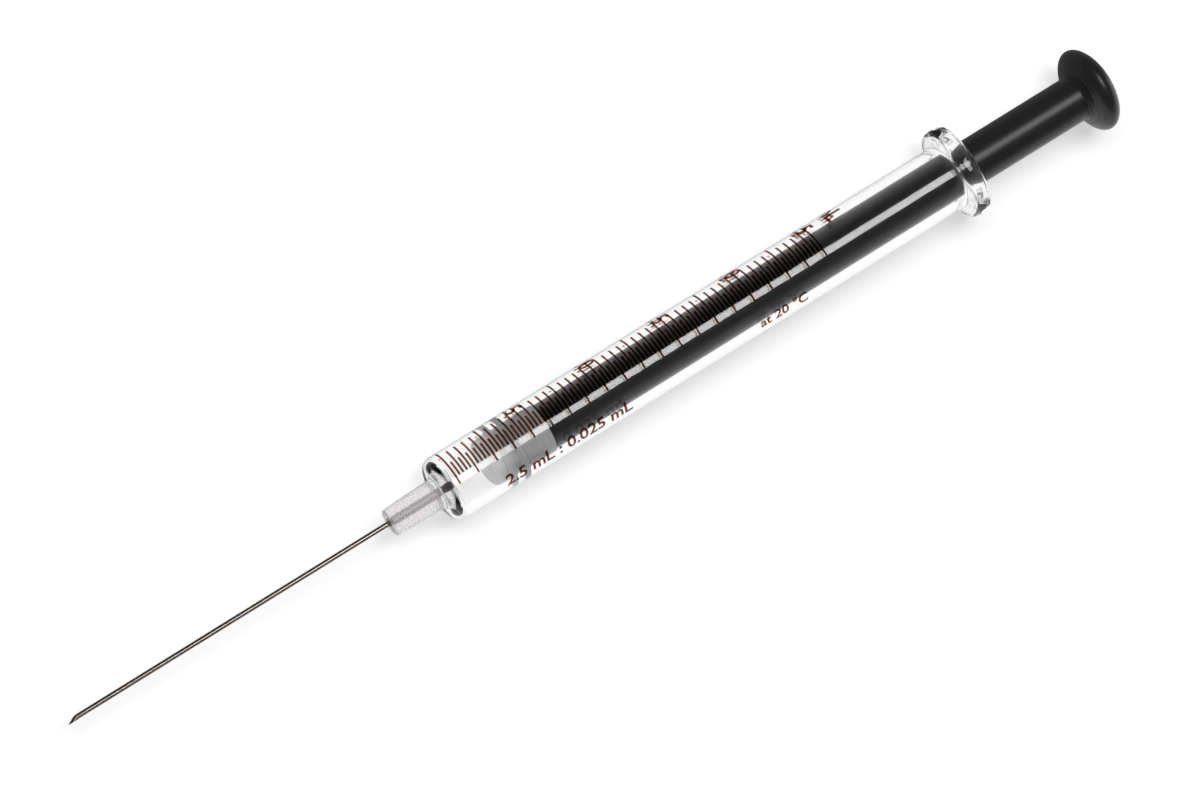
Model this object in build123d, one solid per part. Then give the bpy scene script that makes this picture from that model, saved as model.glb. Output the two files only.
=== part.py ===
from build123d import *
import math
import os

# Millimetres. The syringe lies on its side with the barrel's axis on the X axis.
# X = 0 is the zero mark of the scale.
# The needle points along -X and the plunger's head lies along +X. +Z is up.

# Capacity and scale: the bore follows from the volume that the scale's length holds
capacity_ul = 2500.0
scale_length = 60.0
divisions = 100
division_pitch = scale_length / divisions
bore_r = math.sqrt(capacity_ul / (math.pi * scale_length))

# Glass barrel
glass_wall = 1.06
barrel_r = bore_r + glass_wall
barrel_front_x = -2.3
bore_end_x = -0.74
shoulder_r = 1.6
bore_corner_r = 0.5
mouth_round_r = 0.6
barrel_rear_x = 85.1
search_tolerance = 0.01

# Oval finger flange, pressed from the hot end of the tube
flange_thickness = 2.8
flange_half_width = 6.8
flange_half_height = 5.95
flange_edge_r = 0.6
flange_flare_r = 0.45
flange_front_x = barrel_rear_x - flange_thickness

# Ground cone that holds the needle: 6 per cent taper on the diameter
cone_length = 7.7
cone_root_r = 2.2
cone_taper = 0.06
cone_root_fillet = 0.35
cone_tip_round = 0.25
cone_tip_x = barrel_front_x - cone_length
cone_tip_r = cone_root_r - cone_taper * cone_length / 2

# Needle: 22 gauge tube with a curved point whose opening faces sideways
needle_r = 0.359
needle_lumen_r = 0.205
needle_exposed = 50.8
needle_inner_x = -1.2
needle_tip_x = cone_tip_x - needle_exposed
point_bend_r = 2.0
point_bend_deg = 30.0
bevel_clearance = 0.01
point_stock = 4 * needle_r
grind_depth = 12 * needle_r

# Cement film round the needle, with a meniscus at the mouth of the cone
cement_film = 0.06
needle_hole_r = needle_r + cement_film
channel_r = 0.36
meniscus_height = 0.3
meniscus_r = 0.7

# Seal with two wiping ribs
seal_front_x = 5.1
seal_length = 9.5
seal_rear_x = seal_front_x + seal_length
seal_rib_clearance = 0.04
seal_groove_depth = 0.2
seal_body_gap = 0.1
seal_nose_chamfer = 0.55
first_rib_offset = 1.7
rib_length = 1.2
rib_gap = 0.9

# Plunger rod: stud for the seal in front, spigot for the head behind
rod_r = 6.6 / 2
rod_rear_x = 104.15
rod_edge_chamfer = 0.3
stud_r = 1.5
stud_length = 6.6
spigot_r = 1.6
spigot_length = 2.6

# Head: two half ellipses on a flared root that takes the end of the rod
head_r = 6.2
head_middle_x = 106.4
head_front_half = 2.6
head_back_half = 2.7
root_lip = 0.045
root_flare_r = 0.4
root_socket_depth = 0.3

# Fired scale print: bands that stand on the glass
print_thickness = 0.03
mark_width = 0.29
mark_start_short = 7.0
mark_start_long = -6.0
mark_end_odd = 34.0
mark_end_even = 62.0
mark_end_tenth = 75.0


def cross_plane(x):
    """Plane across the barrel's axis at x, with its own x along +Y and its own y along +Z."""
    return Plane(origin=(x, 0, 0), x_dir=(0, 1, 0), z_dir=(1, 0, 0))


def flare_arc(x, radius, flare_r):
    """Hollow quarter arc that leaves a cylinder at x and ends square to the axis."""
    half = math.sqrt(0.5)
    middle = (x + flare_r * half, radius + flare_r * (1 - half))
    return ThreePointArc((x, radius), middle, (x + flare_r, radius + flare_r))


def turned(outline, rounds=()):
    """Turn a closed outline of (x, radius) points about the X axis, with the given corners rounded."""
    with BuildPart() as body:
        with BuildSketch() as profile:
            with BuildLine():
                Polyline(*outline, close=True)
            make_face()
            for corner, radius in rounds:
                nearest = profile.vertices().sort_by_distance((corner[0], corner[1], 0))[0]
                fillet(nearest, radius)
        revolve(axis=Axis.X)
    return body.part


def barrel_tube():
    """Closed tube with its ground cone, the needle's seat and the channel into the bore."""
    outline = [
        (cone_tip_x, needle_hole_r),
        (cone_tip_x, cone_tip_r),
        (barrel_front_x, cone_root_r),
        (barrel_front_x, barrel_r),
        (barrel_rear_x, barrel_r),
        (barrel_rear_x, bore_r),
        (bore_end_x, bore_r),
        (bore_end_x, channel_r),
        (needle_inner_x, channel_r),
        (needle_inner_x, needle_hole_r),
    ]
    rounds = [
        ((cone_tip_x, cone_tip_r), cone_tip_round),
        ((barrel_front_x, cone_root_r), cone_root_fillet),
        ((barrel_front_x, barrel_r), shoulder_r),
        ((bore_end_x, bore_r), bore_corner_r),
    ]
    return turned(outline, rounds)


def finger_flange():
    """Oval ring with a rounded edge, flared where it leaves the tube."""
    with BuildPart() as flange:
        with BuildSketch(cross_plane(flange_front_x)):
            Ellipse(flange_half_width, flange_half_height)
        extrude(amount=flange_thickness)
        fillet(flange.edges(), flange_edge_r)
        with BuildSketch():
            with BuildLine():
                flare = flare_arc(flange_front_x - flange_flare_r, barrel_r, flange_flare_r)
                Polyline(
                    flare @ 1,
                    (flange_front_x + flange_flare_r, barrel_r + flange_flare_r),
                    (flange_front_x + flange_flare_r, 0),
                    (flange_front_x - flange_flare_r, 0),
                    flare @ 0,
                )
            make_face()
        revolve(axis=Axis.X)
        with BuildSketch(cross_plane(barrel_rear_x / 2)):
            Circle(bore_r)
        extrude(amount=barrel_rear_x, mode=Mode.SUBTRACT)
    return flange.part


def glass_barrel():
    """Tube, cone and flange as one piece of blown glass, its mouth fire-polished."""
    whole = barrel_tube() + finger_flange()
    rear_edges = whole.edges().filter_by(GeomType.CIRCLE).filter_by_position(
        Axis.X, barrel_rear_x - search_tolerance, barrel_rear_x + search_tolerance
    )
    mouth = rear_edges.sort_by(SortBy.RADIUS)[0]
    return whole.fillet(mouth_round_r, [mouth])


def needle():
    """Steel tube whose curved end is ground almost flush with its side."""
    bend = math.radians(point_bend_deg)
    bend_run = point_bend_r * math.sin(bend)
    bend_drop = point_bend_r * (1 - math.cos(bend))
    slope_drop = needle_r * (1 + math.cos(bend)) - bend_drop
    slope_run = slope_drop / math.tan(bend)
    bend_x = needle_tip_x + bend_run + slope_run + needle_r * math.sin(bend)
    with BuildPart() as tube:
        with BuildLine():
            shank = Line((needle_inner_x, 0, 0), (bend_x, 0, 0))
            curve = JernArc(shank @ 1, (-1, 0, 0), point_bend_r, point_bend_deg)
            Line(curve @ 1, curve @ 1 + (curve % 1) * (slope_run + point_stock))
        with BuildSketch(cross_plane(needle_inner_x)):
            Circle(needle_r)
            Circle(needle_lumen_r, mode=Mode.SUBTRACT)
        sweep()
        grind_y = -needle_r - bevel_clearance - grind_depth / 2
        with Locations((needle_tip_x, grind_y, 0)):
            Box(grind_depth, grind_depth, grind_depth, mode=Mode.SUBTRACT)
    return tube.part


def needle_cement():
    """Film of cement between needle and cone, with the meniscus that stands at its mouth."""
    outline = [
        (needle_inner_x, needle_r),
        (needle_inner_x, needle_hole_r),
        (cone_tip_x, needle_hole_r),
        (cone_tip_x, meniscus_r),
        (cone_tip_x - meniscus_height / 2, (meniscus_r + needle_hole_r) / 2),
        (cone_tip_x - meniscus_height, needle_hole_r),
        (cone_tip_x - meniscus_height, needle_r),
    ]
    return turned(outline)


def ptfe_seal():
    """Seal with two wiping ribs, screwed on the rod's stud."""
    groove_r = bore_r - seal_groove_depth
    rib_r = bore_r - seal_rib_clearance
    body_r = bore_r - seal_body_gap
    first_start = seal_front_x + first_rib_offset
    first_end = first_start + rib_length
    second_start = first_end + rib_gap
    second_end = second_start + rib_length
    stud_front_x = seal_rear_x - stud_length
    outline = [
        (seal_front_x, 0),
        (seal_front_x, groove_r - seal_nose_chamfer),
        (seal_front_x + seal_nose_chamfer, groove_r),
        (first_start, groove_r),
        (first_start, rib_r),
        (first_end, rib_r),
        (first_end, groove_r),
        (second_start, groove_r),
        (second_start, rib_r),
        (second_end, rib_r),
        (second_end, body_r),
        (seal_rear_x, body_r),
        (seal_rear_x, stud_r),
        (stud_front_x, stud_r),
        (stud_front_x, 0),
    ]
    return turned(outline)


def plunger_rod():
    """Ground rod with a stud for the seal and a spigot that is pressed into the head."""
    stud_front_x = seal_rear_x - stud_length
    outline = [
        (stud_front_x, 0),
        (stud_front_x, stud_r),
        (seal_rear_x, stud_r),
        (seal_rear_x, rod_r - rod_edge_chamfer),
        (seal_rear_x + rod_edge_chamfer, rod_r),
        (rod_rear_x, rod_r),
        (rod_rear_x, spigot_r),
        (rod_rear_x + spigot_length, spigot_r),
        (rod_rear_x + spigot_length, 0),
    ]
    return turned(outline)


def plunger_head():
    """Button of two half ellipses, with a flared root and a stepped hole for the rod's end."""
    root_x = rod_rear_x - root_socket_depth
    spigot_end_x = rod_rear_x + spigot_length
    middle = (head_middle_x, 0)
    with BuildPart() as head:
        with BuildSketch():
            with BuildLine():
                root = flare_arc(root_x, rod_r + root_lip, root_flare_r)
                front_sweep = 90 - math.degrees(math.asin((root @ 1).Y / head_r))
                front = EllipticalCenterArc(middle, head_front_half, head_r, 90, arc_size=front_sweep)
                back = EllipticalCenterArc(middle, head_back_half, head_r, 0, arc_size=90)
                Line(root @ 1, front @ 1)
                Polyline(
                    back @ 0,
                    (spigot_end_x, 0),
                    (spigot_end_x, spigot_r),
                    (rod_rear_x, spigot_r),
                    (rod_rear_x, rod_r),
                    (root_x, rod_r),
                    root @ 0,
                )
            make_face()
        revolve(axis=Axis.X)
    return head.part


def mark_span(index):
    """Start and end angle of a mark, measured from +Z towards +Y."""
    start = mark_start_long if index % 5 == 0 else mark_start_short
    if index % 10 == 0:
        return start, mark_end_tenth
    if index % 2 == 0:
        return start, mark_end_even
    return start, mark_end_odd


def scale_mark(index):
    """One band of the scale, lying on the glass."""
    start, end = mark_span(index)
    with BuildPart() as band:
        with BuildSketch(Plane.XZ):
            with Locations((index * division_pitch, barrel_r + print_thickness / 2)):
                Rectangle(mark_width, print_thickness)
        revolve(axis=Axis.X, revolution_arc=end - start)
    return Rot(-end, 0, 0) * band.part


def scale_marks():
    """All marks from zero to full, as one group of separate bands."""
    bands = [scale_mark(index).solid() for index in range(divisions + 1)]
    return Compound(children=bands)


pieces = {
    "glass_barrel": glass_barrel(),
    "scale_marks": scale_marks(),
    "needle": needle(),
    "needle_cement": needle_cement(),
    "ptfe_seal": ptfe_seal(),
    "plunger_rod": plunger_rod(),
    "plunger_head": plunger_head(),
}

os.makedirs("parts", exist_ok=True)
for name, piece in pieces.items():
    export_step(piece, f"parts/{name}.step")
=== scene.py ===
import math

import bmesh
import bpy
from mathutils import Matrix, Vector


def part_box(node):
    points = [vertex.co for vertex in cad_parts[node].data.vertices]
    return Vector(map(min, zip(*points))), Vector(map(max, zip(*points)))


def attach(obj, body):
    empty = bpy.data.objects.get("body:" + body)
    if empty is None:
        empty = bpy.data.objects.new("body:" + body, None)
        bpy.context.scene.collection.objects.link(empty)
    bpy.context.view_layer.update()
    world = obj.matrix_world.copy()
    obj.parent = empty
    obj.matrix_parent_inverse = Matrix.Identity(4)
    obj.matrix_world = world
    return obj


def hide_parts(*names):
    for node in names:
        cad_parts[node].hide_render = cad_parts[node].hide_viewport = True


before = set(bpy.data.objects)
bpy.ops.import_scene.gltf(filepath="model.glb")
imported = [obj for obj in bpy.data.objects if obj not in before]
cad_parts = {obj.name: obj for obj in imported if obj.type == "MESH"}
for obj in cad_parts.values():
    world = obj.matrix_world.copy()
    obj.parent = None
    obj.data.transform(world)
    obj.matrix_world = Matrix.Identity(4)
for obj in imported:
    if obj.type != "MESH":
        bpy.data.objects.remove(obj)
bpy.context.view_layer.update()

# Lengths are in millimetres, and meshes are written in metres
MM = 0.001
TURNS = 192
axis_reach = 1e-6
sharp_angle = math.radians(32)


def span(node):
    """Lowest and highest corner of a CAD node, in millimetres."""
    low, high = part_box(node)
    return low / MM, high / MM


barrel_low, barrel_high = span("glass_barrel")
needle_low, needle_high = span("needle")
cement_low, cement_high = span("needle_cement")
seal_low, seal_high = span("ptfe_seal")
rod_low, rod_high = span("plunger_rod")
head_low, head_high = span("plunger_head")

# Scale and bore
capacity_ul = 2500.0
scale_length = 60.0
divisions = 100
division_pitch = scale_length / divisions
bore_r = math.sqrt(capacity_ul / (math.pi * scale_length))
glass_wall = 1.06
barrel_r = bore_r + glass_wall

# Barrel
front_x = -2.3
bore_end_x = -0.74
shoulder_r = 1.6
bore_corner_r = 0.5
mouth_round_r = 0.6
rear_x = barrel_high.x

# Flange
flange_thickness = 2.8
flange_half_width = barrel_high.y
flange_half_height = barrel_high.z
flange_edge_r = 0.6
flange_flare_r = 0.45
flange_crown = 0.14
flange_unevenness = 0.025
flange_front_x = rear_x - flange_thickness
flare_x = flange_front_x - flange_flare_r

# Ground cone
cone_tip_x = barrel_low.x
cone_root_r = 2.2
cone_root_dip = 0.01
cone_tip_r = 1.969
cone_root_fillet = 0.35
cone_tip_round = 0.25
cone_mouth_land = 0.4

# Needle
needle_r = 0.359
needle_lumen_r = 0.205
needle_inner_x = needle_high.x
needle_tip_x = needle_low.x
needle_turns = 48
needle_steps = 24
halvings = 40
point_bend_r = 2.0
point_bend = math.radians(30)
bevel_clearance = 0.01
grind_y = -needle_r - bevel_clearance
bend_length = point_bend_r * point_bend
bend_run = point_bend_r * math.sin(point_bend)
bend_drop = point_bend_r * (1 - math.cos(point_bend))
slope_drop = needle_r * (1 + math.cos(point_bend)) - bend_drop
slope_run = slope_drop / math.tan(point_bend)
bend_x = needle_tip_x + bend_run + slope_run + needle_r * math.sin(point_bend)
longest_run = bend_length + slope_run / math.cos(point_bend) + 4 * needle_r

# Needle's seat, channel and cement
needle_hole_r = 0.419
channel_r = 0.36
meniscus_r = cement_high.z
meniscus_x = cement_low.x
cement_recess = 0.05
cement_lip = 0.01
overlap = 0.002

# Seal
groove_r = bore_r - 0.2
rib_r = bore_r + overlap
seal_body_r = bore_r - 0.1
seal_nose_r = 0.35
seal_nose_land = 0.6
rib_offsets = (1.7, 3.8)
rib_length = 1.2
rib_slope = 0.12
seal_step = 0.1
seal_edge = 0.15
seal_dimple = 0.2
white_front_length = 4.5

# Plunger rod
rod_r = rod_high.z
rod_rear_x = 104.15
rod_chamfer = 0.3
stud_r = 1.5

# Head
head_r = head_high.z
head_middle_x = 106.4
head_front_half = 2.6
head_back_half = head_high.x - head_middle_x
head_root_x = head_low.x
head_root_lip = 0.045
head_root_flare_r = 0.4
head_flare_step = 0.03
head_socket_gap = 0.01
ring_start_r = 3.9
ring_end_r = 5.16
ring_width = 0.42
ring_depth = 0.035

# Print
ink_thickness = 0.02
mark_width = 0.29
mark_start_short = 7.0
mark_start_long = -6.0
mark_end_odd = 34.0
mark_end_even = 62.0
mark_end_tenth = 75.0
mark_step_deg = 2.5
letter_depth = 0.5
letter_boldness = 0.02
letter_cell = 0.3
weld_distance = 1e-5

# Camera above the lying syringe
camera_tilt = math.radians(15.0)
camera_roll = math.radians(31.8)
camera_distance = 784.0
camera_target = Vector((23.6, -0.84, 0.0))
camera_lens = 174.8

# Floor, in metres, with the share of its glow near the syringe and as seen through the glass
floor_half = 3.0
near_floor_glow = 0.5
through_glass_glow = 0.85
near_floor_reach = (0.16, 0.36)
mirrored_edge = 0.004


# Profiles and meshes


def arc(center_x, center_r, radius, start_deg, end_deg, steps):
    """Points of a round profile corner as (x, radius) pairs."""
    points = []
    for step in range(steps + 1):
        angle = math.radians(start_deg + (end_deg - start_deg) * step / steps)
        points.append((center_x + radius * math.cos(angle), center_r + radius * math.sin(angle)))
    return points


def even_stations(start, end, steps):
    """Points between two profile points, both ends left out."""
    points = []
    for step in range(1, steps):
        share = step / steps
        points.append((start[0] + (end[0] - start[0]) * share, start[1] + (end[1] - start[1]) * share))
    return points


def face_outwards(mesh):
    """Turn all faces of a closed mesh outwards."""
    shell = bmesh.new()
    shell.from_mesh(mesh)
    bmesh.ops.recalc_face_normals(shell, faces=shell.faces)
    shell.to_mesh(mesh)
    shell.free()


def add_object(name, verts, faces, body, materials, node):
    """Make a smooth mesh object that rides on a body and replaces a CAD node."""
    mesh = bpy.data.meshes.new(name)
    mesh.from_pydata([Vector(v) * MM for v in verts], [], faces)
    mesh.validate()
    face_outwards(mesh)
    for polygon in mesh.polygons:
        polygon.use_smooth = True
    mesh.set_sharp_from_angle(angle=sharp_angle)
    for material in materials:
        mesh.materials.append(material)
    piece = bpy.data.objects.new(name, mesh)
    bpy.context.scene.collection.objects.link(piece)
    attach(piece, body)
    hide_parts(node)
    return piece


def lathe(stations, turns=TURNS, radius_at=None):
    """Vertices and faces of a profile turned about the X axis.

    Stations are (x, radius), and one on the axis becomes a single vertex.
    A profile that starts off the axis is closed into a ring.
    """
    verts = []
    rings = []
    for station in stations:
        if station[1] < axis_reach:
            rings.append([len(verts)])
            verts.append((station[0], 0, 0))
            continue
        ring = []
        for turn in range(turns):
            angle = 2 * math.pi * turn / turns
            radius = station[1] if radius_at is None else radius_at(station, angle)
            ring.append(len(verts))
            verts.append((station[0], radius * math.cos(angle), radius * math.sin(angle)))
        rings.append(ring)
    pairs = list(zip(rings, rings[1:]))
    if len(rings[0]) > 1:
        pairs.append((rings[-1], rings[0]))
    faces = []
    for first, second in pairs:
        for turn in range(turns):
            after = (turn + 1) % turns
            if len(first) == 1:
                faces.append((first[0], second[turn], second[after]))
            elif len(second) == 1:
                faces.append((first[turn], second[0], first[after]))
            else:
                faces.append((first[turn], second[turn], second[after], first[after]))
    return verts, faces


# Node helpers


def feed(tree, value, socket):
    """Give a socket the output of another node, or a plain value."""
    if isinstance(value, bpy.types.NodeSocket):
        tree.links.new(value, socket)
    else:
        socket.default_value = value


def math_node(tree, operation, first, second):
    """Output of a math node."""
    node = tree.nodes.new("ShaderNodeMath")
    node.operation = operation
    feed(tree, first, node.inputs[0])
    feed(tree, second, node.inputs[1])
    return node.outputs[0]


def faded(tree, value, start, end, start_value, end_value):
    """Output that runs smoothly from one value to another as an input crosses a range."""
    node = tree.nodes.new("ShaderNodeMapRange")
    node.interpolation_type = "SMOOTHSTEP"
    node.inputs["From Min"].default_value = start
    node.inputs["From Max"].default_value = end
    node.inputs["To Min"].default_value = start_value
    node.inputs["To Max"].default_value = end_value
    tree.links.new(value, node.inputs["Value"])
    return node.outputs["Result"]


def mixed(tree, data_type, factor, first, second):
    """Output between two values or two colours."""
    node = tree.nodes.new("ShaderNodeMix")
    node.data_type = data_type
    tree.links.new(factor, node.inputs["Factor"])
    feed(tree, first, node.inputs["A"])
    feed(tree, second, node.inputs["B"])
    return node.outputs["Result"]


def mixed_shaders(tree, factor, first, second):
    """Output between two shaders."""
    node = tree.nodes.new("ShaderNodeMixShader")
    tree.links.new(factor, node.inputs["Fac"])
    tree.links.new(first.outputs[0], node.inputs[1])
    tree.links.new(second.outputs[0], node.inputs[2])
    return node


def axes_of(tree, place):
    """X, Y and Z outputs of a place."""
    split = tree.nodes.new("ShaderNodeSeparateXYZ")
    tree.links.new(place, split.inputs[0])
    return split.outputs


def reflected_ray(tree, path):
    """One for rays that come off a mirror. A refracted ray counts as glossy too, so it is taken off."""
    return math_node(tree, "SUBTRACT", path.outputs["Is Glossy Ray"], path.outputs["Is Transmission Ray"])


def new_material(name):
    """A node material, its tree and its Principled shader."""
    material = bpy.data.materials.new(name)
    material.use_nodes = True
    tree = material.node_tree
    return material, tree, tree.nodes["Principled BSDF"]


def stretched_noise(tree, scale, stretch=(1.0, 1.0, 1.0), detail=4.0):
    """Noise in object space, stretched along an axis where its stretch is small."""
    place = tree.nodes.new("ShaderNodeTexCoord")
    mapping = tree.nodes.new("ShaderNodeMapping")
    mapping.inputs["Scale"].default_value = stretch
    noise = tree.nodes.new("ShaderNodeTexNoise")
    noise.inputs["Scale"].default_value = scale
    noise.inputs["Detail"].default_value = detail
    tree.links.new(place.outputs["Object"], mapping.inputs["Vector"])
    tree.links.new(mapping.outputs["Vector"], noise.inputs["Vector"])
    return noise.outputs["Fac"]


def two_tone(tree, noise, dark, light):
    """Colour that wanders between two tones with a noise."""
    ramp = tree.nodes.new("ShaderNodeValToRGB")
    ramp.color_ramp.elements[0].position = 0.35
    ramp.color_ramp.elements[0].color = (*dark, 1)
    ramp.color_ramp.elements[1].position = 0.65
    ramp.color_ramp.elements[1].color = (*light, 1)
    tree.links.new(noise, ramp.inputs["Fac"])
    return ramp.outputs["Color"]


def roughen(tree, shader, noise, low, high):
    """Let a shader's roughness wander between two values with a noise."""
    spread = tree.nodes.new("ShaderNodeMapRange")
    spread.inputs["To Min"].default_value = low
    spread.inputs["To Max"].default_value = high
    tree.links.new(noise, spread.inputs["Value"])
    tree.links.new(spread.outputs["Result"], shader.inputs["Roughness"])


def add_bump(tree, shader, noise, strength, distance):
    """Bump a shader's surface with a noise."""
    bump = tree.nodes.new("ShaderNodeBump")
    bump.inputs["Strength"].default_value = strength
    bump.inputs["Distance"].default_value = distance
    tree.links.new(noise, bump.inputs["Height"])
    tree.links.new(bump.outputs["Normal"], shader.inputs["Normal"])


# Materials


def clear_glass():
    """Drawn borosilicate glass with faint draw lines along the tube."""
    material, tree, shader = new_material("clear_glass")
    shader.inputs["Transmission Weight"].default_value = 1.0
    shader.inputs["IOR"].default_value = 1.474
    shader.inputs["Roughness"].default_value = 0.0
    noise = stretched_noise(tree, scale=700.0, stretch=(0.04, 1.0, 1.0), detail=2.0)
    tint = two_tone(tree, noise, (0.985, 0.99, 0.99), (0.995, 1.0, 0.998))
    tree.links.new(tint, shader.inputs["Base Color"])
    add_bump(tree, shader, noise, strength=0.04, distance=0.00005)
    return material


def ground_glass():
    """Ground surface of the cone, frosted and faintly pink."""
    material, tree, shader = new_material("ground_glass")
    shader.inputs["Transmission Weight"].default_value = 0.7
    shader.inputs["IOR"].default_value = 1.474
    noise = stretched_noise(tree, scale=5000.0, detail=3.0)
    tint = two_tone(tree, noise, (0.97, 0.94, 0.945), (1.0, 0.98, 0.985))
    tree.links.new(tint, shader.inputs["Base Color"])
    roughen(tree, shader, noise, 0.22, 0.34)
    add_bump(tree, shader, noise, strength=0.2, distance=0.00001)
    return material


def brown_ink():
    """Fired brown stain that lets light through, a little uneven in density."""
    material, tree, shader = new_material("brown_ink")
    noise = stretched_noise(tree, scale=2500.0)
    colour = two_tone(tree, noise, (0.13, 0.042, 0.026), (0.22, 0.08, 0.05))
    tree.links.new(colour, shader.inputs["Base Color"])
    shader.inputs["Transmission Weight"].default_value = 1.0
    shader.inputs["IOR"].default_value = 1.03
    shader.inputs["Roughness"].default_value = 0.05
    add_bump(tree, shader, noise, strength=0.1, distance=0.00001)
    return material


def drawn_steel():
    """Bright drawn steel with lines along the tube."""
    material, tree, shader = new_material("drawn_steel")
    shader.inputs["Metallic"].default_value = 1.0
    noise = stretched_noise(tree, scale=9000.0, stretch=(0.0015, 1.0, 1.0), detail=1.0)
    colour = two_tone(tree, noise, (0.24, 0.21, 0.19), (0.36, 0.325, 0.30))
    tree.links.new(colour, shader.inputs["Base Color"])
    roughen(tree, shader, noise, 0.18, 0.32)
    add_bump(tree, shader, noise, strength=0.03, distance=0.000005)
    return material


def grey_cement():
    """Set resin cement, dark grey and slightly mottled."""
    material, tree, shader = new_material("grey_cement")
    noise = stretched_noise(tree, scale=3000.0)
    colour = two_tone(tree, noise, (0.07, 0.055, 0.05), (0.14, 0.12, 0.115))
    tree.links.new(colour, shader.inputs["Base Color"])
    shader.inputs["Roughness"].default_value = 0.3
    add_bump(tree, shader, noise, strength=0.2, distance=0.00002)
    return material


def white_ptfe():
    """Turned PTFE with faint turning rings, its colour painted with shade: grey over the rear for the shade
    of the rod, the seal's own white only towards its lit front.
    """
    material, tree, shader = new_material("white_ptfe")
    noise = stretched_noise(tree, scale=6000.0, stretch=(1.0, 0.02, 0.02))
    # painted shade: the seal's rear is coloured grey for the rod's shade, fading to the seal's white over
    # its front
    shaded = two_tone(tree, noise, (0.46, 0.46, 0.46), (0.56, 0.56, 0.555))
    place = tree.nodes.new("ShaderNodeTexCoord")
    along = axes_of(tree, place.outputs["Object"])["X"]
    white_end_x = (seal_low.x + white_front_length) * MM
    near_front = faded(tree, along, seal_low.x * MM, white_end_x, 1.0, 0.0)
    colour = mixed(tree, "RGBA", near_front, shaded, (0.95, 0.95, 0.95, 1))
    tree.links.new(colour, shader.inputs["Base Color"])
    shader.inputs["Roughness"].default_value = 0.42
    shader.inputs["Subsurface Weight"].default_value = 0.2
    shader.inputs["Subsurface Radius"].default_value = (1.0, 1.0, 1.0)
    shader.inputs["Subsurface Scale"].default_value = 0.0004
    add_bump(tree, shader, noise, strength=0.15, distance=0.00002)
    return material


def black_anodised(name, stretch):
    """Black anodised metal, satin, with fine turning marks."""
    material, tree, shader = new_material(name)
    noise = stretched_noise(tree, scale=5000.0, stretch=stretch)
    colour = two_tone(tree, noise, (0.011, 0.011, 0.0115), (0.016, 0.016, 0.0165))
    tree.links.new(colour, shader.inputs["Base Color"])
    shader.inputs["Specular IOR Level"].default_value = 0.35
    roughen(tree, shader, noise, 0.24, 0.36)
    add_bump(tree, shader, noise, strength=0.12, distance=0.00001)
    return material


# Barrel


def oval_reach(angle):
    """How far the flange's outline stands beyond its narrow half, at an angle from +Y."""
    across = flange_half_height * math.cos(angle)
    along = flange_half_width * math.sin(angle)
    return flange_half_width * flange_half_height / math.hypot(across, along) - flange_half_height


def pressed_wave(x, angle):
    """Unevenness of the hand-pressed flange, always inwards."""
    wave = math.sin(3 * angle + 0.7) + 0.6 * math.sin(5 * angle + 2.1 + x) + 0.4 * math.sin(9 * angle - x)
    return flange_unevenness * (wave - 2.0)


def barrel_radius(station, angle):
    """Radius of the barrel at a station, whose third value says how oval it is."""
    if len(station) < 3:
        return station[1]
    return station[1] + station[2] * (oval_reach(angle) + pressed_wave(station[0], angle))


def cone_profile():
    """Ground cone from its mouth to its fillet on the barrel's front face."""
    profile = [(cone_tip_x, needle_hole_r), (cone_tip_x, needle_hole_r + cone_mouth_land)]
    profile += arc(cone_tip_x + cone_tip_round, cone_tip_r - cone_tip_round, cone_tip_round, 180, 90, 8)
    fillet_x = front_x - cone_root_fillet
    profile += even_stations(profile[-1], (fillet_x, cone_root_r - cone_root_dip), 24)
    profile += arc(fillet_x, cone_root_r + cone_root_fillet, cone_root_fillet, 270, 360, 8)
    return profile


def tube_profile(start):
    """Front face, shoulder and outside of the tube, up to the flange's flare."""
    profile = even_stations(start, (front_x, barrel_r - shoulder_r), 4)
    profile += arc(front_x + shoulder_r, barrel_r - shoulder_r, shoulder_r, 180, 90, 24)
    profile += even_stations(profile[-1], (flare_x, barrel_r), 40)
    return profile


def flange_profile():
    """Flange from its flare over the crowned rim to the rear face, with how oval each station is."""
    edge_low = flange_half_height - flange_edge_r
    rim_low = edge_low - flange_crown
    front_edge_x = flange_front_x + flange_edge_r
    rear_edge_x = rear_x - flange_edge_r
    middle_x = (front_edge_x + rear_edge_x) / 2
    crown_half = (rear_edge_x - front_edge_x) / 2
    profile = []
    for step in range(13):
        turn = math.pi / 2 * step / 12
        oval = 1 - math.cos(turn)
        radius = barrel_r + (edge_low - barrel_r) * oval
        profile.append((flare_x + flange_flare_r * math.sin(turn), radius, oval))
    profile += [(x, r, 1.0) for x, r in arc(front_edge_x, rim_low, flange_edge_r, 180, 90, 16)]
    for step in range(1, 16):
        share = step / 8 - 1
        rise = flange_crown * (1 - share * share)
        profile.append((middle_x + crown_half * share, rim_low + flange_edge_r + rise, 1.0))
    profile += [(x, r, 1.0) for x, r in arc(rear_edge_x, rim_low, flange_edge_r, 90, 0, 16)]
    for step in range(1, 8):
        share = step / 8
        profile.append((rear_x, edge_low + (bore_r + mouth_round_r - edge_low) * share, 1 - share))
    return profile


def inner_profile():
    """Mouth, bore, channel and the needle's seat, back to the cone's mouth."""
    profile = arc(rear_x - mouth_round_r, bore_r + mouth_round_r, mouth_round_r, 360, 270, 12)
    corner_x = bore_end_x + bore_corner_r
    profile += even_stations(profile[-1], (corner_x, bore_r), 44)
    profile += arc(corner_x, bore_r - bore_corner_r, bore_corner_r, 90, 180, 12)
    profile += even_stations(profile[-1], (bore_end_x, channel_r), 6)
    profile += [(bore_end_x, channel_r), (needle_inner_x, channel_r), (needle_inner_x, needle_hole_r)]
    profile += even_stations(profile[-1], (cone_tip_x, needle_hole_r), 8)
    return profile


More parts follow.
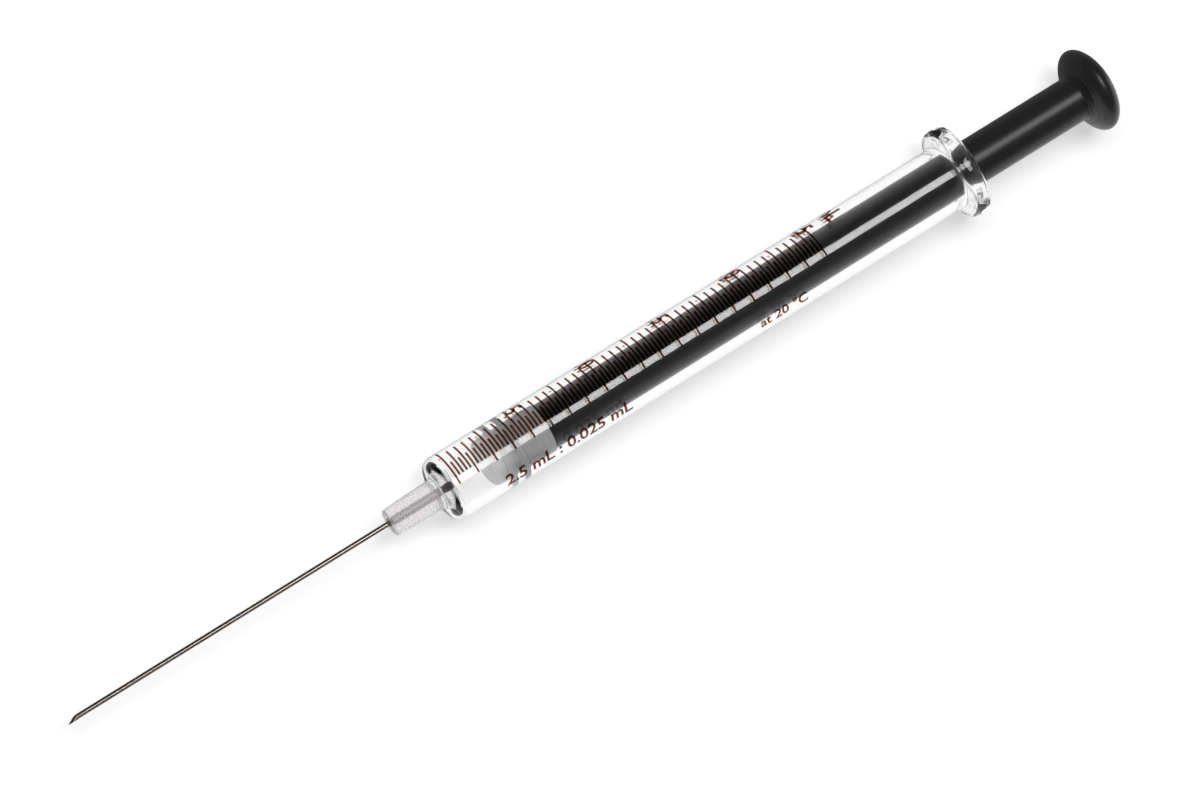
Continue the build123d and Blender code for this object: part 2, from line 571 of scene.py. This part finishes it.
def make_barrel():
    """Blown glass barrel with its frosted cone as a second material on the same mesh."""
    cone = cone_profile()
    profile = cone + tube_profile(cone[-1]) + flange_profile() + inner_profile()
    verts, faces = lathe(profile, TURNS, barrel_radius)
    materials = [clear_glass(), ground_glass()]
    piece = add_object(
        "barrel_glass_body", verts, faces, "barrel", materials, "glass_barrel"
    )
    for polygon in piece.data.polygons:
        station = polygon.index // TURNS
        polygon.material_index = 1 if station < len(cone) - 1 else 0


# Needle and cement


def needle_wall(run, wall_r, angle):
    """Point of the needle's wall: run is the length along the centre line past the bend's start."""
    if run < bend_length:
        turn = max(run, 0.0) / point_bend_r
        center_x = bend_x - point_bend_r * math.sin(turn) - min(run, 0.0)
        center_y = -point_bend_r * (1 - math.cos(turn))
    else:
        turn = point_bend
        center_x = bend_x - bend_run - (run - bend_length) * math.cos(turn)
        center_y = -bend_drop - (run - bend_length) * math.sin(turn)
    side = wall_r * math.cos(angle)
    return center_x - side * math.sin(turn), center_y + side * math.cos(turn), wall_r * math.sin(angle)


def ground_run(wall_r, angle):
    """Run at which a line of the wall meets the ground face, found by halving."""
    low = 0.0
    high = longest_run
    for _ in range(halvings):
        middle = (low + high) / 2
        if needle_wall(middle, wall_r, angle)[1] > grind_y:
            low = middle
        else:
            high = middle
    return low


def needle_column(verts, wall_r, angle):
    """Add one line of the wall from the needle's inner end to its ground face, and list its vertices."""
    start = len(verts)
    run = ground_run(wall_r, angle)
    verts.append((needle_inner_x, wall_r * math.cos(angle), wall_r * math.sin(angle)))
    for step in range(needle_steps + 1):
        verts.append(needle_wall(run * (step / needle_steps), wall_r, angle))
    return list(range(start, len(verts)))


def make_needle():
    """Steel tube with its curved point ground almost flush with its side."""
    verts = []
    angles = [2 * math.pi * turn / needle_turns for turn in range(needle_turns)]
    outer = [needle_column(verts, needle_r, angle) for angle in angles]
    inner = [needle_column(verts, needle_lumen_r, angle) for angle in angles]
    faces = []
    for turn in range(needle_turns):
        after = (turn + 1) % needle_turns
        out, out_after = outer[turn], outer[after]
        within, within_after = inner[turn], inner[after]
        for step in range(len(out) - 1):
            faces.append((out[step], out[step + 1], out_after[step + 1], out_after[step]))
            faces.append((within[step], within_after[step], within_after[step + 1], within[step + 1]))
        faces.append((out[0], out_after[0], within_after[0], within[0]))
        faces.append((out[-1], within[-1], within_after[-1], out_after[-1]))
    add_object("needle_tube", verts, faces, "barrel", [drawn_steel()], "needle")


def make_cement():
    """Cement film and its meniscus, which wets both the needle and the cone's face."""
    film_r = needle_hole_r + overlap
    mouth_x = cone_tip_x + cement_recess
    profile = [(needle_inner_x, needle_r - overlap), (needle_inner_x, film_r)]
    profile += even_stations(profile[-1], (mouth_x, film_r), 12)
    profile += [(mouth_x, film_r), (cone_tip_x + cement_lip, meniscus_r)]
    for step in range(1, 11):
        turn = math.pi / 2 * step / 10
        x = cone_tip_x - (cone_tip_x - meniscus_x) * (1 - math.cos(turn))
        profile.append((x, meniscus_r - (meniscus_r - needle_r) * math.sin(turn)))
    profile.append((meniscus_x, needle_r - overlap))
    verts, faces = lathe(profile, turns=64)
    add_object("cement_fillet", verts, faces, "barrel", [grey_cement()], "needle_cement")


# Plunger


def make_seal():
    """PTFE seal whose two ribs press on the glass."""
    seal_front = seal_low.x
    seal_rear = seal_high.x
    profile = [(seal_front, 0), (seal_front, stud_r), (seal_front, groove_r - seal_nose_land)]
    profile += arc(seal_front + seal_nose_r, groove_r - seal_nose_r, seal_nose_r, 180, 90, 8)
    for offset in rib_offsets:
        start = seal_front + offset
        end = start + rib_length
        profile += [(start, groove_r), (start + rib_slope, rib_r), (end - rib_slope, rib_r), (end, groove_r)]
    profile.append((profile[-1][0] + seal_step, seal_body_r))
    profile += [(seal_rear - seal_edge, seal_body_r), (seal_rear, seal_body_r - seal_edge)]
    profile += [(seal_rear, stud_r), (seal_rear - seal_dimple, 0)]
    verts, faces = lathe(profile, turns=128)
    add_object("seal_body", verts, faces, "plunger", [white_ptfe()], "ptfe_seal")


def make_rod():
    """Ground rod with chamfered front edge."""
    seal_rear = seal_high.x
    rod_front = seal_rear + overlap
    profile = [(rod_front, 0), (rod_front, rod_r - rod_chamfer), (seal_rear + rod_chamfer, rod_r)]
    profile += even_stations(profile[-1], (rod_rear_x, rod_r), 40)
    profile += [(rod_rear_x, rod_r), (rod_rear_x, 0)]
    verts, faces = lathe(profile)
    material = black_anodised("black_rod", (0.02, 1.0, 1.0))
    add_object("rod_body", verts, faces, "plunger", [material], "plunger_rod")


def ring_rise(radius):
    """Height of the shallow turned rings on the head's underside."""
    if not ring_start_r < radius < ring_end_r:
        return 0.0
    return ring_depth * max(0.0, math.sin((radius - ring_start_r) * math.pi / ring_width))


def make_head():
    """Turned button with shallow rings on its underside and a flared root."""
    root_r = rod_r + head_root_lip
    profile = [
        (rod_rear_x + head_socket_gap, 0),
        (head_root_x, rod_r - head_socket_gap),
        (head_root_x, root_r),
    ]
    profile += arc(head_root_x, root_r + head_root_flare_r, head_root_flare_r, 270, 360, 10)[1:]
    start_turn = math.asin((root_r + head_root_flare_r + head_flare_step) / head_r)
    for step in range(73):
        turn = start_turn + (math.pi / 2 - start_turn) * step / 72
        radius = head_r * math.sin(turn)
        x = head_middle_x - head_front_half * math.cos(turn)
        profile.append((x + ring_rise(radius), radius))
    for step in range(1, 49):
        turn = math.pi / 2 * (1 - step / 48)
        profile.append((head_middle_x + head_back_half * math.cos(turn), head_r * math.sin(turn)))
    verts, faces = lathe(profile)
    material = black_anodised("black_head", (1.0, 1.0, 1.0))
    add_object("head_button", verts, faces, "plunger", [material], "plunger_head")


# Print


def mark_span(index):
    """Start and end angle of a mark in degrees, measured from +Z towards +Y."""
    start = mark_start_long if index % 5 == 0 else mark_start_short
    if index % 10 == 0:
        return start, mark_end_tenth
    if index % 2 == 0:
        return start, mark_end_even
    return start, mark_end_odd


def on_glass(x, angle, height):
    """Point at an angle from +Z towards +Y, at a height above the glass."""
    radius = barrel_r + height
    return x, radius * math.sin(angle), radius * math.cos(angle)


def make_marks():
    """All 101 marks as thin bands of ink on the glass."""
    verts = []
    faces = []
    for index in range(divisions + 1):
        start, end = mark_span(index)
        steps = max(4, round((end - start) / mark_step_deg))
        rings = []
        for step in range(steps + 1):
            angle = math.radians(start + (end - start) * step / steps)
            base = len(verts)
            for side in (-0.5, 0.5):
                for height in (-overlap, ink_thickness):
                    verts.append(on_glass(index * division_pitch + side * mark_width, angle, height))
            rings.append((base, base + 1, base + 3, base + 2))
        faces.append(rings[0])
        faces.append(tuple(reversed(rings[-1])))
        for first, second in zip(rings, rings[1:]):
            for corner in range(4):
                after = (corner + 1) % 4
                faces.append((first[after], first[corner], second[corner], second[after]))
    add_object("scale_print", verts, faces, "barrel", [brown_ink()], "scale_marks")


def cut_evenly(letters, axis):
    """Cut letters across an axis into cells small enough to be bent."""
    reach = [vert.co.dot(axis) for vert in letters.verts]
    cuts = math.ceil((max(reach) - min(reach)) / letter_cell)
    for cut in range(1, cuts):
        place = min(reach) + (max(reach) - min(reach)) * cut / cuts
        geometry = letters.verts[:] + letters.edges[:] + letters.faces[:]
        bmesh.ops.bisect_plane(letters, geom=geometry, plane_co=axis * place, plane_no=axis)


def letter_mesh(name, text, size):
    """Closed mesh of a text, cut fine enough to be bent round the glass."""
    curve = bpy.data.curves.new(name + "_curve", "FONT")
    curve.body = text
    curve.size = size
    curve.align_x = "LEFT"
    curve.extrude = letter_depth
    curve.offset = letter_boldness * size
    curve.resolution_u = 3
    carrier = bpy.data.objects.new(name + "_carrier", curve)
    bpy.context.scene.collection.objects.link(carrier)
    bpy.context.view_layer.update()
    mesh = bpy.data.meshes.new_from_object(carrier.evaluated_get(bpy.context.evaluated_depsgraph_get()))
    bpy.data.objects.remove(carrier)
    letters = bmesh.new()
    letters.from_mesh(mesh)
    bmesh.ops.remove_doubles(letters, verts=letters.verts, dist=weld_distance)
    cut_evenly(letters, Vector((1, 0, 0)))
    cut_evenly(letters, Vector((0, 1, 0)))
    bmesh.ops.triangulate(letters, faces=letters.faces)
    return mesh, letters


def print_letters(name, mesh, letters, place):
    """Bend letters on to the glass with a placing rule, and print them in the scale's ink."""
    low_x = min(vert.co.x for vert in letters.verts)
    low_y = min(vert.co.y for vert in letters.verts)
    high_y = max(vert.co.y for vert in letters.verts)
    for vert in letters.verts:
        height = ink_thickness if vert.co.z > 0 else -overlap
        x, angle = place(vert.co.x - low_x, vert.co.y - (low_y + high_y) / 2)
        vert.co = Vector(on_glass(x, angle, height)) * MM
    bmesh.ops.recalc_face_normals(letters, faces=letters.faces)
    letters.to_mesh(mesh)
    letters.free()
    mesh.materials.clear()
    mesh.materials.append(bpy.data.materials["brown_ink"])
    piece = bpy.data.objects.new(name, mesh)
    bpy.context.scene.collection.objects.link(piece)
    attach(piece, "barrel")


def print_across(name, text, middle_x, right_deg, size):
    """Print a text that reads round the barrel, upright when the needle points down."""
    mesh, letters = letter_mesh(name, text, size)
    reach = [vert.co.x for vert in letters.verts]
    width = max(reach) - min(reach)

    def place(run, rise):
        return middle_x + rise, math.radians(right_deg) + (width - run) / barrel_r

    print_letters(name, mesh, letters, place)


def print_along(name, text, start_x, middle_deg, size):
    """Print a text that reads along the barrel."""
    mesh, letters = letter_mesh(name, text, size)

    def place(run, rise):
        return start_x + run, math.radians(middle_deg) + rise / barrel_r

    print_letters(name, mesh, letters, place)


def make_labels():
    """Numbers beside every twentieth mark, the unit, and two plain lines of data."""
    for index, text in ((20, ".5"), (40, "1.0"), (60, "1.5"), (80, "2.0"), (100, "2.5")):
        name = "number_" + str(index)
        print_across(name, text, middle_x=index * division_pitch, right_deg=54, size=3.6)
    print_across("unit", "mL", middle_x=64.5, right_deg=44, size=3.7)
    print_along("capacity", "2.5 mL : 0.025 mL", start_x=5.9, middle_deg=-49, size=2.8)
    print_along("temperature", "at 20 °C", start_x=47.5, middle_deg=-49, size=2.3)


# Camera and stage


def make_camera():
    """Camera above the lying syringe, on the needle's side of it."""
    back = Vector((-math.sin(camera_tilt), 0, math.cos(camera_tilt)))
    along = Vector((math.cos(camera_tilt), 0, math.sin(camera_tilt)))
    across = Vector((0, 1, 0))
    right = along * math.cos(camera_roll) - across * math.sin(camera_roll)
    up = along * math.sin(camera_roll) + across * math.cos(camera_roll)
    place = (camera_target + back * camera_distance) * MM
    data = bpy.data.cameras.new("camera")
    data.sensor_width = 36.0
    data.lens = camera_lens
    data.clip_start = 0.01
    data.clip_end = 20.0
    camera = bpy.data.objects.new("camera", data)
    bpy.context.scene.collection.objects.link(camera)
    camera.matrix_world = Matrix.Translation(place) @ Matrix((right, up, back)).transposed().to_4x4()
    bpy.context.scene.camera = camera


def white_floor():
    """White paper that glows where it is looked at, and is dark for mirrors beyond the syringe."""
    material = bpy.data.materials.new("white_floor")
    material.use_nodes = True
    tree = material.node_tree
    tree.nodes.clear()
    path = tree.nodes.new("ShaderNodeLightPath")
    through_glass = path.outputs["Is Transmission Ray"]
    place = tree.nodes.new("ShaderNodeTexCoord").outputs["Object"]

    straight = math_node(tree, "MAXIMUM", path.outputs["Is Camera Ray"], through_glass)
    reflected = reflected_ray(tree, path)
    near_side = faded(tree, axes_of(tree, place)["Y"], -mirrored_edge, mirrored_edge, 1.0, 0.0)
    mirrored = math_node(tree, "MULTIPLY", reflected, near_side)
    shown = math_node(tree, "MAXIMUM", straight, mirrored)
    hidden = math_node(tree, "SUBTRACT", reflected, mirrored)

    paper = tree.nodes.new("ShaderNodeBsdfDiffuse")
    paper_colour = mixed(tree, "RGBA", shown, (0.8, 0.8, 0.8, 1), (1.2, 1.2, 1.2, 1))
    tree.links.new(paper_colour, paper.inputs["Color"])
    dark_paper = tree.nodes.new("ShaderNodeBsdfDiffuse")
    dark_paper.inputs["Color"].default_value = (0.25, 0.25, 0.25, 1)
    dimmed = mixed_shaders(tree, hidden, paper, dark_paper)

    distance = tree.nodes.new("ShaderNodeVectorMath")
    distance.operation = "LENGTH"
    tree.links.new(place, distance.inputs[0])
    far = faded(tree, distance.outputs["Value"], *near_floor_reach, near_floor_glow, 1.0)
    through = math_node(tree, "MULTIPLY", through_glass, through_glass_glow)
    glowing = math_node(tree, "MULTIPLY", math_node(tree, "MAXIMUM", far, through), shown)
    glow = tree.nodes.new("ShaderNodeEmission")

    output = tree.nodes.new("ShaderNodeOutputMaterial")
    surface = mixed_shaders(tree, glowing, dimmed, glow)
    tree.links.new(surface.outputs[0], output.inputs["Surface"])
    return material


def make_floor():
    """Floor that touches the barrel's front end and the flange."""
    rest_front = Vector((0.0, 0.0, -barrel_r))
    rest_rear = Vector(((flange_front_x + rear_x) / 2, 0.0, -flange_half_height))
    slope = math.atan2(rest_front.z - rest_rear.z, rest_rear.x - rest_front.x)
    sides = ((-1, -1), (1, -1), (1, 1), (-1, 1))
    corners = [(x * floor_half, y * floor_half, 0) for x, y in sides]
    mesh = bpy.data.meshes.new("floor")
    mesh.from_pydata(corners, [], [(0, 1, 2, 3)])
    mesh.materials.append(white_floor())
    floor = bpy.data.objects.new("floor", mesh)
    bpy.context.scene.collection.objects.link(floor)
    floor.location = rest_front * MM
    floor.rotation_euler = (0, slope, 0)


def make_softbox(name, place, aim, size_x, size_y, radiance):
    """Rectangular lamp with a given radiance, turned towards a point."""
    data = bpy.data.lights.new(name, "AREA")
    data.shape = "RECTANGLE"
    data.size = size_x
    data.size_y = size_y
    data.energy = radiance * math.pi * size_x * size_y
    lamp = bpy.data.objects.new(name, data)
    bpy.context.scene.collection.objects.link(lamp)
    lamp.location = place
    lamp.rotation_mode = "QUATERNION"
    lamp.rotation_quaternion = (Vector(aim) - Vector(place)).to_track_quat("-Z", "Y")
    return lamp


def make_lamps():
    """Overhead softbox that the glass mirrors, and a broad lamp that only lights."""
    make_softbox(
        "softbox", place=(0.28, 0.025, 0.757), aim=(0.05, 0.0, 0.0), size_x=0.32, size_y=0.42, radiance=6.4
    )
    broad = make_softbox(
        "broad_lamp", place=(0.0, 0.32, 0.78), aim=(0.03, 0.0, 0.0), size_x=0.7, size_y=0.30, radiance=4.5
    )
    broad.visible_glossy = False
    broad.visible_transmission = False


def tent_strength(tree, axes):
    """Room as seen through the glass: light all round, but dark high up on the head's side."""
    wall_top = faded(tree, axes["Z"], 0.10, 0.80, 0.95, 0.10)
    band_start = faded(tree, axes["X"], -0.10, 0.10, 0.0, 1.0)
    band_end = faded(tree, axes["X"], 0.42, 0.62, 1.0, 0.0)
    band = math_node(tree, "MULTIPLY", band_start, band_end)
    return mixed(tree, "FLOAT", band, 0.95, wall_top)


def mirrored_strength(tree, axes):
    """Room as mirrors see it: a low bright wall on the -Y side, dark above and behind."""
    low_wall = faded(tree, axes["Z"], 0.02, 0.35, 0.75, 0.12)
    right_side = faded(tree, axes["Y"], -0.3, 0.1, 1.0, 0.1)
    return math_node(tree, "MULTIPLY", low_wall, right_side)


def make_world():
    """Plain room, white for the camera, dim above for everything else."""
    world = bpy.data.worlds.new("studio")
    bpy.context.scene.world = world
    world.use_nodes = True
    tree = world.node_tree
    tree.nodes.clear()
    path = tree.nodes.new("ShaderNodeLightPath")
    place = tree.nodes.new("ShaderNodeTexCoord")
    axes = axes_of(tree, place.outputs["Generated"])
    ceiling = faded(tree, axes["Z"], 0.25, 0.75, 1.0, 0.06)
    through_glass = path.outputs["Is Transmission Ray"]
    room = mixed(tree, "FLOAT", through_glass, ceiling, tent_strength(tree, axes))
    seen = mixed(tree, "FLOAT", reflected_ray(tree, path), room, mirrored_strength(tree, axes))
    strength = math_node(tree, "MAXIMUM", path.outputs["Is Camera Ray"], seen)
    background = tree.nodes.new("ShaderNodeBackground")
    tree.links.new(strength, background.inputs["Strength"])
    output = tree.nodes.new("ShaderNodeOutputWorld")
    tree.links.new(background.outputs[0], output.inputs["Surface"])


make_camera()
make_floor()
make_lamps()
make_world()
make_barrel()
make_needle()
make_cement()
make_seal()
make_rod()
make_head()
make_marks()
make_labels()

bpy.context.scene.view_settings.view_transform = "Standard"

# Light is mirrored to and fro inside the thick glass, so it needs more bounces than usual
bpy.context.scene.cycles.max_bounces = 24
bpy.context.scene.cycles.transmission_bounces = 24
bpy.context.scene.cycles.glossy_bounces = 8
